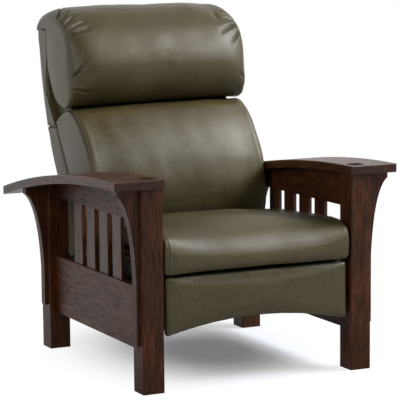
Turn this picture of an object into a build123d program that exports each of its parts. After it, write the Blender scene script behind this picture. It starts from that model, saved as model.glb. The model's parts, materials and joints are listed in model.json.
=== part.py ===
from build123d import *
from math import atan2, cos, degrees, hypot, radians, sin
import os

# Mission reclining armchair with bow arms. Lengths are in millimetres, +Z is up, the sitter looks along -Y,
# and "left" is the -X side. Everything is drawn about the middle of the four posts on the floor, and moved
# at the end so that the origin is the middle of the whole chair's footprint.

# Posts and feet
post_side = 67.0
posts_width = 744.0
posts_depth = 776.0
post_edge_round = 3.0
board_edge_round = 1.2
glide_height = 4.0
glide_recess = 2.0
glide_radius = 14.0
glide_fit = 0.1

# Bow arms
arm_height = 615.0
arm_thickness = 26.0
arm_width = 155.0
arm_front_overhang = 10.0
arm_inner_overhang = 4.5
arm_rear_overhang = 110.0
arm_bow_radius = 3600.0
arm_edge_round = 3.0
arm_blank_depth = 200.0
tenon_side = 38.0
tenon_proud = 1.5
tenon_fit = 0.2

# Side panels
rail_thickness = 23.0
lower_rail_bottom = 117.0
lower_rail_height = 181.0
upper_rail_drop = 129.0
front_upper_tenon_height = 72.0
rear_upper_tenon_height = 31.5
rail_tenon_length = 24.0
rail_tenon_thickness = 11.0
rail_tenon_shoulder = 9.0
joint_fit = 0.15
slat_count = 4
slat_width = 63.0
slat_pitch = 98.0
slat_thickness = 11.0
slat_seat_depth = 10.0

# Corbels
corbel_thickness = 28.0
corbel_set_back = 16.0
corbel_top_width = 67.0
corbel_foot_width = 11.0
corbel_bottom = 141.0
corbel_flat = 17.0
corbel_sweep = 233.0
corbel_curve_shares = ((0.45, 0.09), (0.11, 0.44))

# Cross rails of the wooden frame
front_cross_front = 240.0
front_cross_thickness = 25.0
front_cross_floor_height = 180.0
front_cross_rail_height = 65.0
rear_cross_thickness = 22.0
rear_cross_set_back = 12.0
rear_cross_floor_height = 122.0
rear_cross_rail_height = 72.0

# Seat
seat_side_clearance = 5.0
seat_front = 409.0
seat_rear = 163.0
seat_bottom = 344.6
seat_crown = 127.4
seat_middle_shares = (
    (0.020, 0.00), (0.000, 0.40), (0.012, 0.74), (0.045, 0.955), (0.125, 1.00),
    (0.50, 0.93), (0.925, 0.715), (0.985, 0.62), (1.0, 0.44), (1.0, 0.0),
)
seat_end_shares = (
    (0.038, 0.02), (0.024, 0.36), (0.036, 0.68), (0.056, 0.80), (0.105, 0.865),
    (0.50, 0.79), (0.915, 0.60), (0.975, 0.52), (0.995, 0.36), (0.995, 0.02),
)
seat_block_width = 23.5
seat_rail_width = 32.0
seat_rail_height = 50.0
seat_rail_front = 335.0
seat_rail_rear = 168.0
webbing_thickness = 2.0
webbing_width = 50.0
webbing_count = 5
webbing_pitch = 96.0
webbing_lap = 25.0
soft_gap = 0.4

# Footrest panel
footrest_side_clearance = 9.0
footrest_front = 386.0
footrest_bottom = 162.0
footrest_top = 331.0
footrest_arch = 35.0
footrest_pad_thickness = 28.0
footrest_board_thickness = 10.0
footrest_board_inset = 4.0
footrest_corner = 16.0
footrest_edge_round = 11.0

# Footrest linkage, a two-stage lazy tong on each side
link_length = 135.0
link_half_width = 9.0
link_thickness = 3.0
link_gap = 1.0
tong_top_x = 324.0
tong_top_z = 312.0
tong_rise_angle = 5.0
tong_folded_angle = 80.0
tong_open_angle = 22.0
pin_radius = 4.0
pin_fit = 0.05
pin_proud = 0.5
slot_fit = 0.5
link_side_clearance = 11.0
tie_tube_radius = 8.0
tie_tube_wall = 1.5
tie_tube_share = 0.24
bracket_height = 110.0
bracket_flange = 26.0
bracket_top_clear = 6.0

# Side plates and what carries them
plate_thickness = 3.0
plate_gap = 1.5
plate_front = 300.0
plate_upright_width = 46.0
plate_upright_bottom = 158.0
plate_bar_bottom = 252.0
plate_bar_top = 341.0
plate_rear = 214.0
cleat_front = 205.0
cleat_rear = 205.0
cleat_bottom = 200.0
cleat_top = 286.0
block_front = 150.0
block_rear = 120.0
bolt_radius = 3.5
bolt_head_radius = 7.0
bolt_head_height = 3.0
bolt_depth = 22.0
bolt_fit = 0.1
plate_bolt_z = 269.0
plate_bolt_places = (-170.0, 0.0, 170.0)

# Reclining back: pivot, shell, frame
recline_y = 190.0
recline_z = 316.0
recline_pin_radius = 6.0
recline_washer_radius = 12.0
recline_washer_width = 5.0
back_upper_side_clearance = 7.0
back_low_y = 250.0
back_low_z = 284.0
back_depth = 323.0
back_height = 712.0
back_wall = 11.0
back_edge_round = 9.0
frame_side_thickness = 20.0
frame_fit = 0.4
frame_rail_height = 36.0
frame_rail_thickness = 24.0
back_front_shares = (
    (0.045, 0.065), (0.037, 0.219), (0.25, 0.374), (0.579, 0.5955), (0.724, 0.685), (0.744, 1.0),
)
back_rear_shares = (
    (0.99, 1.0), (0.921, 0.79), (0.78, 0.566), (0.585, 0.39),
    (0.381, 0.233), (0.368, 0.15), (0.368, 0.07), (0.26, 0.0),
)
hinge_arm_thickness = 4.0
hinge_arm_half_width = 20.0
hinge_bolt_shares = ((0.14, 0.0815), (0.279, 0.0815))

# Lumbar cushion
lumbar_side_clearance = 15.0
lumbar_front = 112.0
lumbar_low = 432.0
lumbar_depth = 240.0
lumbar_height = 320.0
lumbar_middle_shares = (
    (0.98, 1.0), (0.60, 0.985), (0.27, 0.785), (0.075, 0.53), (0.005, 0.295), (-0.005, 0.09), (0.055, 0.015),
)
lumbar_end_shares = (
    (0.925, 0.98), (0.64, 0.915), (0.37, 0.735), (0.16, 0.50), (0.095, 0.275), (0.075, 0.08), (0.105, 0.005),
)

# Headrest pillow
head_side_clearance = 2.0
head_front = 243.0
head_low = 752.0
head_depth = 325.0
head_height = 320.0
head_middle_shares = (
    (0.335, 0.01), (0.055, 0.215), (0.004, 0.41), (0.115, 0.70), (0.37, 0.925), (0.67, 0.999), (0.985, 0.835),
)
head_end_shares = (
    (0.315, 0.0), (0.205, 0.085), (0.205, 0.24), (0.30, 0.49), (0.50, 0.80), (0.71, 0.885), (0.965, 0.805),
)
head_rear_shares = ((0.72, 0.36), (0.68, 0.06))
head_end_rear_shares = ((0.655, 0.36), (0.56, 0.14))

# Where a cushion's cross-sections stand between its middle and its end, and how far each has swelled
section_place_shares = (0.0, 0.55, 0.88, 1.0)
section_swell_shares = (1.0, 0.93, 0.60, 0.0)


def block(x0, x1, y0, y1, z0, z1):
    """A box between three pairs of limits."""
    return Pos((x0 + x1) / 2, (y0 + y1) / 2, (z0 + z1) / 2) * Box(x1 - x0, y1 - y0, z1 - z0)


def slab(sketch, x0, x1):
    """A side-view sketch, drawn in Y and Z, given its thickness from x0 to x1."""
    return extrude(Plane.YZ.offset(x0) * sketch, x1 - x0)


def rod(x0, x1, place, radius):
    """A round bar along X."""
    return slab(Pos(place[0], place[1]) * Circle(radius), x0, x1)


def other_side(shape):
    return mirror(shape, about=Plane.YZ)


def on_shares(shares, low, span):
    """Places given as shares of a span, measured from its low corner."""
    return [(low[0] + a * span[0], low[1] + b * span[1]) for a, b in shares]


def between(first, second, share):
    return [(a[0] + share * (b[0] - a[0]), a[1] + share * (b[1] - a[1])) for a, b in zip(first, second)]


def arcs(points):
    """Arcs through each point, the next and the one after."""
    return [ThreePointArc(*points[i:i + 3]) for i in range(0, len(points) - 2, 2)]


def cushion(end, middle, half_width, outline):
    """A padded form: side-view sections that swell from each end panel to the middle."""
    places = [-p for p in reversed(section_place_shares)] + list(section_place_shares[1:])
    swells = list(reversed(section_swell_shares)) + list(section_swell_shares[1:])
    sections = []
    for place, swell in zip(places, swells):
        sections.append(Plane.YZ.offset(place * half_width) * outline(between(end, middle, swell)))
    return loft(sections)


post_x = posts_width / 2
post_y = posts_depth / 2
post_inner_x = post_x - post_side
post_inner_y = post_y - post_side
post_centre_x = post_x - post_side / 2
post_centre_y = post_y - post_side / 2
arm_inner_x = post_inner_x - arm_inner_overhang
arm_front = -post_y - arm_front_overhang
arm_rear = post_y + arm_rear_overhang
bow_centre_z = arm_height - arm_bow_radius
rail_inner_x = post_centre_x - rail_thickness / 2
rail_outer_x = post_centre_x + rail_thickness / 2
lower_rail_top = lower_rail_bottom + lower_rail_height
upper_rail_bottom = arm_height - upper_rail_drop

outer_link_x = post_inner_x - link_side_clearance
inner_link_x = outer_link_x - link_thickness - link_gap
bracket_x = inner_link_x - link_thickness - link_gap
plate_x = outer_link_x + plate_gap
cleat_x = plate_x + plate_thickness
hinge_x = plate_x - recline_washer_width - pin_fit * 2

seat_half_width = post_inner_x - seat_side_clearance
seat_rail_half_width = plate_x - seat_block_width
footrest_half_width = post_inner_x - footrest_side_clearance
back_half_width = hinge_x - hinge_arm_thickness - frame_fit
back_upper_half_width = post_inner_x - back_upper_side_clearance
lumbar_half_width = post_inner_x - lumbar_side_clearance
head_half_width = post_inner_x - head_side_clearance


def bow_disc(radius, x0, x1):
    """The round whose upper edge is a face of the bow arm; it is level at the front of the posts."""
    return rod(x0, x1, (-post_y, bow_centre_z), radius)


def arm_blank():
    """The bent board before its mortise is cut."""
    x0 = arm_inner_x
    x1 = arm_inner_x + arm_width
    board = block(x0, x1, arm_front, arm_rear, arm_height - arm_blank_depth, arm_height)
    return (board & bow_disc(arm_bow_radius, x0, x1)) - bow_disc(arm_bow_radius - arm_thickness, x0, x1)


def tenon_block(fit, high):
    """The square of a front post's top tenon, or with a fit its mortise, up to a height."""
    half = tenon_side / 2 + fit
    return Pos(post_centre_x, -post_centre_y, high / 2) * Box(half * 2, half * 2, high)


def arm():
    blank = arm_blank()
    blank = fillet(blank.edges(), arm_edge_round)
    return blank - tenon_block(tenon_fit, arm_height + arm_thickness)


def under_arm(shape):
    """The part of a shape that lies below the arm's lower face."""
    box = shape.bounding_box()
    return shape & bow_disc(arm_bow_radius - arm_thickness, box.min.X, box.max.X)


def rail_tenon(low, high, y_sign, fit):
    """A stub tenon on a side rail's end, or with a fit the mortise that takes it."""
    half = rail_tenon_thickness / 2 + fit
    y0, y1 = sorted((y_sign * post_inner_y, y_sign * (post_inner_y + rail_tenon_length + fit)))
    return block(post_centre_x - half, post_centre_x + half, y0, y1, low + rail_tenon_shoulder - fit,
                 high - rail_tenon_shoulder + fit)


def rail_tenon_limits(y_sign):
    """The lowest and highest points of both rails' ends at the front or rear post."""
    upper_height = front_upper_tenon_height if y_sign < 0 else rear_upper_tenon_height
    return (lower_rail_bottom, lower_rail_top), (upper_rail_bottom, upper_rail_bottom + upper_height)


def post(y_sign):
    """A square post, mortised for both side rails. The front one's tenon shows through the arm."""
    y0, y1 = sorted((y_sign * post_inner_y, y_sign * post_y))
    body = block(post_inner_x, post_x, y0, y1, glide_height - glide_recess, arm_height)
    body = fillet(body.edges().filter_by(Axis.Z), post_edge_round)
    body = under_arm(body)
    for low, high in rail_tenon_limits(y_sign):
        body -= rail_tenon(low, high, y_sign, joint_fit)
    if y_sign < 0:
        tenon = tenon_block(0, arm_height + tenon_proud)
        tenon &= block(post_inner_x, post_x, y0, y1, arm_height - arm_thickness * 2, arm_height * 2)
        top = tenon.faces().sort_by(Axis.Z)[-1]
        body += chamfer(top.edges(), tenon_proud)
    socket = Pos(post_centre_x, y_sign * post_centre_y, glide_height - glide_recess / 2)
    return body - socket * Cylinder(glide_radius / 2 + glide_fit, glide_recess * 2)


def glide(x_sign, y_sign):
    """A nail-on foot glide with its stem in the post."""
    place = Pos(x_sign * post_centre_x, y_sign * post_centre_y, 0)
    low = glide_height - glide_recess
    pad = Pos(0, 0, low / 2) * Cylinder(glide_radius, low)
    pad = fillet(pad.faces().sort_by(Axis.Z)[0].edges(), low / 2)
    stem = Pos(0, 0, low + glide_recess / 4) * Cylinder(glide_radius / 2, glide_recess / 2)
    return place * (pad + stem)


def slat_place(i):
    return (i - (slat_count - 1) / 2) * slat_pitch


def slat(i, fit):
    """An upright slat that sits in a slot of each side rail, or with a fit the room that it takes."""
    low = lower_rail_top - slat_seat_depth - fit
    high = upper_rail_bottom + slat_seat_depth + fit
    shape = Box(slat_thickness + fit * 2, slat_width + fit * 2, high - low)
    shape = Pos(post_centre_x, slat_place(i), (low + high) / 2) * shape
    return fillet(shape.edges().filter_by(Axis.Z), board_edge_round)


def lower_rail():
    rail = block(rail_inner_x, rail_outer_x, -post_inner_y, post_inner_y, lower_rail_bottom, lower_rail_top)
    rail = fillet(rail.edges().filter_by(Axis.Y), board_edge_round)
    for y_sign in (-1, 1):
        rail += rail_tenon(*rail_tenon_limits(y_sign)[0], y_sign, 0)
    for i in range(slat_count):
        rail -= slat(i, joint_fit)
    return rail


def upper_rail():
    rail = block(rail_inner_x, rail_outer_x, -post_inner_y, post_inner_y, upper_rail_bottom, arm_height)
    rail = under_arm(fillet(rail.edges().filter_by(Axis.Y), board_edge_round))
    for y_sign in (-1, 1):
        rail += rail_tenon(*rail_tenon_limits(y_sign)[1], y_sign, 0)
    for i in range(slat_count):
        rail -= slat(i, joint_fit)
    return rail


def corbel(y_sign):
    """A bracket on the post's outer face: a short flat, a hollow sweep and a thin straight tail."""
    y_front = (-post_y if y_sign < 0 else post_inner_y) + corbel_set_back
    y_middle = y_front + corbel_thickness / 2
    under = bow_height(y_middle) - arm_thickness
    start = (post_x + corbel_top_width, under - corbel_flat)
    finish = (post_x + corbel_foot_width, under - corbel_flat - corbel_sweep)
    span = (corbel_top_width - corbel_foot_width, -corbel_sweep)
    pulls = on_shares(corbel_curve_shares, (post_x + corbel_foot_width, under - corbel_flat), span)
    sweep_line = Bezier(start, pulls[0], pulls[1], finish)
    foot = (post_x + corbel_foot_width, corbel_bottom)
    back = [(post_x, corbel_bottom), (post_x, arm_height), (start[0], arm_height)]
    rest = Polyline(finish, foot, *back, start)
    sketch = make_face([sweep_line, *rest.edges()])
    shape = extrude(Plane.XZ.offset(-y_front) * sketch, -corbel_thickness)
    return under_arm(shape)


def bow_height(y):
    """The height of the arm's top at a place along it."""
    return bow_centre_z + (arm_bow_radius ** 2 - (y + post_y) ** 2) ** 0.5


def front_cross_rail():
    return block(-rail_inner_x, rail_inner_x, -front_cross_front, -front_cross_front + front_cross_thickness,
                 front_cross_floor_height, front_cross_floor_height + front_cross_rail_height)


def rear_cross_rail():
    y0 = post_inner_y + rear_cross_set_back
    return block(-post_inner_x, post_inner_x, y0, y0 + rear_cross_thickness, rear_cross_floor_height,
                 rear_cross_floor_height + rear_cross_rail_height)


def seat_outline(p):
    """Front, nose and top as arcs, then the rear end and the flat underside."""
    lines = arcs(p[0:9])
    lines += [Line(p[8], p[9]), Line(p[9], p[0])]
    return make_face(lines)


def seat_cushion():
    low = (-seat_front, seat_bottom)
    span = (seat_front + seat_rear, seat_crown)
    return cushion(on_shares(seat_end_shares, low, span), on_shares(seat_middle_shares, low, span),
                   seat_half_width, seat_outline)


seat_rail_top = seat_bottom - soft_gap - webbing_thickness
seat_rail_low = seat_rail_top - seat_rail_height


def seat_side_rail():
    x1 = seat_rail_half_width
    y0 = -seat_rail_front + seat_rail_width
    return block(x1 - seat_rail_width, x1, y0, seat_rail_rear - seat_rail_width, seat_rail_low, seat_rail_top)


def seat_end_rail(y_sign):
    outer = seat_rail_rear if y_sign > 0 else seat_rail_front
    y0, y1 = sorted((y_sign * outer, y_sign * (outer - seat_rail_width)))
    return block(-seat_rail_half_width, seat_rail_half_width, y0, y1, seat_rail_low, seat_rail_top)


def webbing():
    """Elastic straps, stapled over the front and rear seat rails."""
    y0 = -seat_rail_front + seat_rail_width - webbing_lap
    y1 = seat_rail_rear - seat_rail_width + webbing_lap
    half = webbing_width / 2
    strap = block(-half, half, y0, y1, seat_rail_top, seat_rail_top + webbing_thickness)
    return [Pos((i - (webbing_count - 1) / 2) * webbing_pitch, 0, 0) * strap for i in range(webbing_count)]


def footrest_sketch(inset):
    """The panel's front view: straight top and ends, and an arched lower edge."""
    x = footrest_half_width - inset
    low = footrest_bottom + inset
    high = footrest_top - inset
    arch = ThreePointArc((-x, low), (0, low + footrest_arch), (x, low))
    rest = Polyline((x, low), (x, high), (-x, high), (-x, low))
    return make_face([arch, *rest.edges()])


def footrest_layer(inset, front, thickness):
    return extrude(Plane.XZ.offset(front) * footrest_sketch(inset), -thickness)


footrest_board_front = footrest_front - footrest_pad_thickness - soft_gap
footrest_board_rear = footrest_board_front - footrest_board_thickness


def footrest_pad():
    pad = footrest_layer(0, footrest_front, footrest_pad_thickness)
    pad = fillet(pad.edges().filter_by(Axis.Y), footrest_corner)
    face = pad.faces().sort_by(Axis.Y)[0]
    return fillet(face.edges(), footrest_edge_round)


def footrest_board():
    board = footrest_layer(footrest_board_inset, footrest_board_front, footrest_board_thickness)
    return fillet(board.edges().filter_by(Axis.Y), footrest_corner)


def tong_points(angle):
    """The lazy tong's pivots in Y and Z when its links stand at this angle to its line of travel."""
    a = radians(angle)
    folded = radians(tong_folded_angle)
    rise = radians(tong_rise_angle)
    u = (-cos(rise), sin(rise))
    v = (sin(rise), cos(rise))
    root_y = -tong_top_x - 2 * link_length * cos(folded) * u[0]
    root_z = tong_top_z - 2 * link_length * cos(folded) * u[1]

    def at(along, up):
        y = root_y + link_length * (along * u[0] + up * v[0])
        return (y, root_z + link_length * (along * u[1] + up * v[1]))

    c = cos(a)
    s = sin(a)
    return {"root": at(0, 0), "slider": at(0, -s), "upper": at(c, 0), "lower": at(c, -s), "tip": at(2 * c, 0),
            "heel": at(2 * c, -s), "cross_1": at(c / 2, -s / 2), "cross_2": at(c * 3 / 2, -s / 2)}


tong = tong_points(tong_folded_angle)
tong_open = tong_points(tong_open_angle)


def flat_bar(first, last, half_width):
    """The side view of a flat bar with rounded ends about two places."""
    y, z = last[0] - first[0], last[1] - first[1]
    bar = Rot(0, 0, degrees(atan2(z, y))) * SlotCenterToCenter(hypot(y, z), half_width * 2)
    return Pos(*between([first], [last], 1 / 2)[0]) * bar


def tong_link(first, last, x):
    """A flat bar with rounded ends and three pivot holes, its outer face at x."""
    middle = between([first], [last], 1 / 2)[0]
    bar = flat_bar(first, last, link_half_width)
    for place in (first, middle, last):
        bar -= Pos(*place) * Circle(pin_radius + pin_fit)
    return slab(bar, x - link_thickness, x)


def tong_pin(place, x0, x1):
    return rod(x0, x1, place, pin_radius)


def both_sides(shapes):
    return shapes + [other_side(s) for s in shapes]


def tie_tube():
    """The tube that makes both sides' cross links turn together."""
    y, z = between([tong["slider"]], [tong["upper"]], tie_tube_share)[0]
    reach = inner_link_x - link_thickness
    bore = rod(-reach, reach, (y, z), tie_tube_radius - tie_tube_wall)
    return rod(-reach, reach, (y, z), tie_tube_radius) - bore


def footrest_bracket():
    """An angle bracket: its flange lies on the board, its web holds the tong's tip pin."""
    y_board = -footrest_board_rear
    top = footrest_top - bracket_top_clear
    tip = tong["tip"]
    web = Pos((tip[0] + y_board) / 2, top - bracket_height / 2) * Rectangle(tip[0] - y_board, bracket_height)
    web += Pos(*tip) * Circle(link_half_width)
    web -= Pos(*tip) * Circle(pin_radius + pin_fit)
    plate = slab(web, bracket_x - link_thickness, bracket_x)
    flange = block(bracket_x - bracket_flange, bracket_x - link_thickness, y_board, y_board + link_thickness,
                   top - bracket_height, top)
    return plate + flange


def plate_bolt(y, z, x, depth):
    """A pan-head bolt with its head's flat at x, pointing outwards."""
    return rod(x - bolt_head_height, x, (y, z), bolt_head_radius) + rod(x, x + depth, (y, z), bolt_radius)


def side_plate():
    """The mechanism's side plate: an upright with the slider's slot, and a bar back to the recline pivot."""
    front = -plate_front
    upright = Pos(front + plate_upright_width / 2, (plate_upright_bottom + plate_bar_top) / 2) * Rectangle(
        plate_upright_width, plate_bar_top - plate_upright_bottom)
    bar = Pos((front + plate_rear) / 2, (plate_bar_bottom + plate_bar_top) / 2) * Rectangle(
        plate_rear - front, plate_bar_top - plate_bar_bottom)
    sketch = upright + bar
    sketch -= flat_bar(tong["slider"], tong_open["slider"], pin_radius + slot_fit)
    sketch -= Pos(*tong["root"]) * Circle(pin_radius + pin_fit)
    sketch -= Pos(recline_y, recline_z) * Circle(recline_pin_radius + pin_fit)
    for y in plate_bolt_places:
        sketch -= Pos(y, plate_bolt_z) * Circle(bolt_radius + bolt_fit)
    return slab(sketch, plate_x, cleat_x)


def cleat():
    """The hardwood cleat that carries a side plate on the lower side rail."""
    shape = block(cleat_x, rail_inner_x, -cleat_front, cleat_rear, cleat_bottom, cleat_top)
    for y in plate_bolt_places:
        shape -= rod(cleat_x, cleat_x + bolt_depth + bolt_fit, (y, plate_bolt_z), bolt_radius + bolt_fit)
    return shape


def seat_block():
    return block(seat_rail_half_width, plate_x, -block_front, block_rear, seat_rail_low, plate_bar_top)


back_low = (back_low_y, back_low_z)
back_span = (back_depth, back_height)
back_front_line = on_shares(back_front_shares, back_low, back_span)
back_rear_line = on_shares(back_rear_shares, back_low, back_span)


def back_sketch():
    """The back's side view: straight front faces, a hollowed upper rear and a rounded tail."""
    rear = back_rear_line
    front = back_front_line
    lines = [Polyline(rear[7], *front, rear[0])]
    lines += arcs(rear[0:7])
    lines += [Line(rear[6], rear[7])]
    return make_face([e for line in lines for e in line.edges()])


back_wall_sketch = back_sketch()
back_room_sketch = offset(back_wall_sketch, -back_wall, kind=Kind.TANGENT)
frame_side_sketch = offset(back_wall_sketch, -back_wall - frame_fit, kind=Kind.TANGENT)
frame_x = back_half_width - back_wall - frame_fit
hinge_bolt_line = on_shares(hinge_bolt_shares, back_low, back_span)


def rounded_ends(shape, radius):
    """Rounds the edges of a shape's left and right end faces."""
    faces = shape.faces().sort_by(Axis.X)
    return fillet(faces[0].edges() + faces[-1].edges(), radius)


def back_shell():
    """The upholstered outer back, hollow for its frame, and wider above the seam that runs round it."""
    shell = rounded_ends(slab(back_wall_sketch, -back_half_width, back_half_width), back_edge_round)
    upper = slab(back_wall_sketch, -back_upper_half_width, back_upper_half_width)
    upper &= block(-back_upper_half_width, back_upper_half_width, 0, back_low_y + back_depth,
                   back_rear_line[2][1], back_low_z + back_height)
    shell += rounded_ends(upper, back_edge_round)
    shell -= slab(back_room_sketch, -back_half_width + back_wall, back_half_width - back_wall)
    for sign in (-1, 1):
        x0, x1 = sorted((sign * frame_x, sign * hinge_x))
        for place in hinge_bolt_line:
            shell -= rod(x0, x1, place, bolt_radius + bolt_fit)
    return shell


def back_frame_side():
    """One shaped plywood side of the back's frame."""
    side = slab(frame_side_sketch, frame_x - frame_side_thickness, frame_x)
    for place in hinge_bolt_line:
        side -= rod(frame_x - bolt_depth, frame_x, place, bolt_radius + bolt_fit)
    return side


def back_frame_rail(place):
    """A cross rail between the frame's sides."""
    x = frame_x - frame_side_thickness
    return block(-x, x, place[0] - frame_rail_thickness / 2, place[0] + frame_rail_thickness / 2,
                 place[1] - frame_rail_height / 2, place[1] + frame_rail_height / 2)


frame_rail_shares = {"top": (0.84, 0.92), "middle": (0.56, 0.50), "bottom": (0.21, 0.10)}


def hinge_arm():
    """The flat steel arm that carries the back on its pivot."""
    start = (recline_y, recline_z)
    bar = flat_bar(start, hinge_bolt_line[-1], hinge_arm_half_width)
    bar -= Pos(*start) * Circle(recline_pin_radius + pin_fit)
    for place in hinge_bolt_line:
        bar -= Pos(*place) * Circle(bolt_radius + bolt_fit)
    return slab(bar, hinge_x - hinge_arm_thickness, hinge_x)


def hinge_bolt(place):
    """A bolt through the hinge arm into the frame's side, its head outside."""
    head = rod(hinge_x, hinge_x + bolt_head_height / 2, place, bolt_head_radius)
    return head + rod(frame_x - frame_side_thickness / 2, hinge_x, place, bolt_radius)


def recline_pin():
    """The back's pivot: a shouldered pin held in the side plate."""
    place = (recline_y, recline_z)
    pin = rod(hinge_x - hinge_arm_thickness - frame_fit, cleat_x, place, recline_pin_radius)
    washer = rod(hinge_x + pin_fit, plate_x - pin_fit, place, recline_washer_radius)
    return pin + washer


def lumbar_outline(p):
    """Front as arcs, then the underside, the shell's front faces and the slope up to the top seam."""
    back = [(y - soft_gap, z) for y, z in back_front_line[1:4]]
    lines = arcs(p[0:7])
    rest = Polyline(p[6], (back[0][0], p[6][1]), *back, p[0])
    return make_face(lines + list(rest.edges()))


def lumbar_cushion():
    low = (lumbar_front, lumbar_low)
    span = (lumbar_depth, lumbar_height)
    return cushion(on_shares(lumbar_end_shares, low, span), on_shares(lumbar_middle_shares, low, span),
                   lumbar_half_width, lumbar_outline)


head_rest_z = back_low_z + back_height + soft_gap


def head_outline(p):
    """Underside, front and top as arcs, then the flap over the shell's top and the hollow behind."""
    top_rear = (p[6][0], head_rest_z)
    top_front = (back_front_line[5][0] - soft_gap, head_rest_z)
    lines = arcs(p[0:7])
    lines += [Line(p[6], top_rear), Line(top_rear, top_front), Line(top_front, p[7]), Line(p[7], p[8])]
    lines += [Line(p[8], p[0])]
    return make_face(lines)


def headrest():
    low = (head_front, head_low)
    span = (head_depth, head_height)
    end = on_shares(head_end_shares + head_end_rear_shares, low, span)
    middle = on_shares(head_middle_shares + head_rear_shares, low, span)
    return cushion(end, middle, head_half_width, head_outline)


def build():
    """Every piece by name, still about the middle of the posts."""
    pieces = {}

    def pair(name, shape):
        pieces[name + "_right"] = shape
        pieces[name + "_left"] = other_side(shape)

    pair("front_post", post(-1))
    pair("rear_post", post(1))
    pieces["foot_glides"] = Compound([glide(a, b) for a in (-1, 1) for b in (-1, 1)])
    pair("bow_arm", arm())
    pair("upper_side_rail", upper_rail())
    pair("lower_side_rail", lower_rail())
    for i in range(slat_count):
        pair(f"slat_{i + 1}", slat(i, 0))
    pair("front_corbel", corbel(-1))
    pair("rear_corbel", corbel(1))
    pieces["front_cross_rail"] = front_cross_rail()
    pieces["rear_cross_rail"] = rear_cross_rail()
    pair("seat_side_rail", seat_side_rail())
    pieces["seat_front_rail"] = seat_end_rail(-1)
    pieces["seat_rear_rail"] = seat_end_rail(1)
    pieces["seat_webbing"] = Compound(webbing())
    pieces["seat_cushion"] = seat_cushion()
    pair("mechanism_cleat", cleat())
    pair("seat_block", seat_block())
    pair("side_plate", side_plate())
    bolts = [plate_bolt(y, plate_bolt_z, plate_x, bolt_depth) for y in plate_bolt_places]
    pieces["plate_bolts"] = Compound(both_sides(bolts))

    links = both_sides([tong_link(tong["root"], tong["lower"], outer_link_x)])
    pieces["long_links"] = Compound(links)
    pieces["tie_tube"] = tie_tube()
    pieces["cross_links"] = Compound(both_sides([tong_link(tong["slider"], tong["upper"], inner_link_x)]))
    pieces["outer_long_links"] = Compound(both_sides([tong_link(tong["upper"], tong["heel"], outer_link_x)]))
    pieces["outer_cross_links"] = Compound(both_sides([tong_link(tong["lower"], tong["tip"], inner_link_x)]))
    stack_low = inner_link_x - link_thickness - pin_proud
    stack_high = outer_link_x + pin_proud
    long_pins = [tong_pin(tong[place], stack_low, stack_high) for place in ("cross_1", "lower")]
    long_pins += [tong_pin(tong["root"], outer_link_x - link_thickness, cleat_x)]
    pieces["long_link_pins"] = Compound(both_sides(long_pins))
    cross_pins = [tong_pin(tong["slider"], stack_low, cleat_x)]
    cross_pins += [tong_pin(tong["upper"], stack_low, stack_high)]
    pieces["cross_link_pins"] = Compound(both_sides(cross_pins))
    outer_pins = [tong_pin(tong["cross_2"], stack_low, stack_high)]
    outer_pins += [tong_pin(tong["tip"], bracket_x - link_thickness - pin_proud, inner_link_x)]
    pieces["outer_cross_link_pins"] = Compound(both_sides(outer_pins))
    pieces["footrest_brackets"] = Compound(both_sides([footrest_bracket()]))
    pieces["footrest_board"] = footrest_board()
    pieces["footrest_pad"] = footrest_pad()

    pieces["back_shell"] = back_shell()
    pair("back_frame_side", back_frame_side())
    for name, share in frame_rail_shares.items():
        pieces[f"back_frame_{name}_rail"] = back_frame_rail(on_shares([share], back_low, back_span)[0])
    pieces["hinge_arms"] = Compound(both_sides([hinge_arm()]))
    pieces["hinge_bolts"] = Compound(both_sides([hinge_bolt(place) for place in hinge_bolt_line]))
    pieces["recline_pins"] = Compound(both_sides([recline_pin()]))
    pieces["lumbar_cushion"] = lumbar_cushion()
    pieces["headrest_pillow"] = headrest()
    return pieces


def footprint_middle(pieces):
    """How far the whole chair's middle lies behind the middle of the posts."""
    boxes = [shape.bounding_box() for shape in pieces.values()]
    return (min(b.min.Y for b in boxes) + max(b.max.Y for b in boxes)) / 2


pieces = build()
middle_y = footprint_middle(pieces)
os.makedirs("parts", exist_ok=True)
for name, shape in pieces.items():
    export_step(Pos(0, -middle_y, 0) * shape, f"parts/{name}.step")

print("nodes", len(pieces))
print("posts' middle lies at y", round(-middle_y, 4))
for name, place in tong.items():
    print("tong", name, round(place[0] - middle_y, 4), round(place[1], 4))
print("recline pivot", round(recline_y - middle_y, 4), recline_z)
print("footrest links turn", tong_folded_angle - tong_open_angle)
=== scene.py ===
import json
import math

import bpy
import numpy as np
from mathutils import Matrix, Vector
from mathutils.bvhtree import BVHTree


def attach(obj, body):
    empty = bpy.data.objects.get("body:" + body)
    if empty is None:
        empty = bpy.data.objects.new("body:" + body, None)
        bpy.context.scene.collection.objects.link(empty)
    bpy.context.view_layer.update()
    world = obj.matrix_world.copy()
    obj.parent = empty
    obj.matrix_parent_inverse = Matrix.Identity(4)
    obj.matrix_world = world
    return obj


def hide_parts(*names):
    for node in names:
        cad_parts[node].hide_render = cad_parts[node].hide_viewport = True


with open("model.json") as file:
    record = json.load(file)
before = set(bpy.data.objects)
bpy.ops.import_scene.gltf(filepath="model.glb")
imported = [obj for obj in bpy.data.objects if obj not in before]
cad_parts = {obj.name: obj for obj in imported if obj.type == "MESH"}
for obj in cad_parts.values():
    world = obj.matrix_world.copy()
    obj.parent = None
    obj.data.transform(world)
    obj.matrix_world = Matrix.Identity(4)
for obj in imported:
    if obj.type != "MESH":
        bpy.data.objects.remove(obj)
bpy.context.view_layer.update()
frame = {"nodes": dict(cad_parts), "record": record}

# The chair stands on z = 0 and faces -Y. All lengths are in metres.

# Camera, worked out from the photograph
eye = (-2.6018, -5.4595, 1.3232)
heading = math.radians(-25.84)
tilt = math.radians(-7.99)
roll = math.radians(-0.52)
lens_mm = 177.87
shift_x = -0.0034
shift_y = 0.0031

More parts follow.
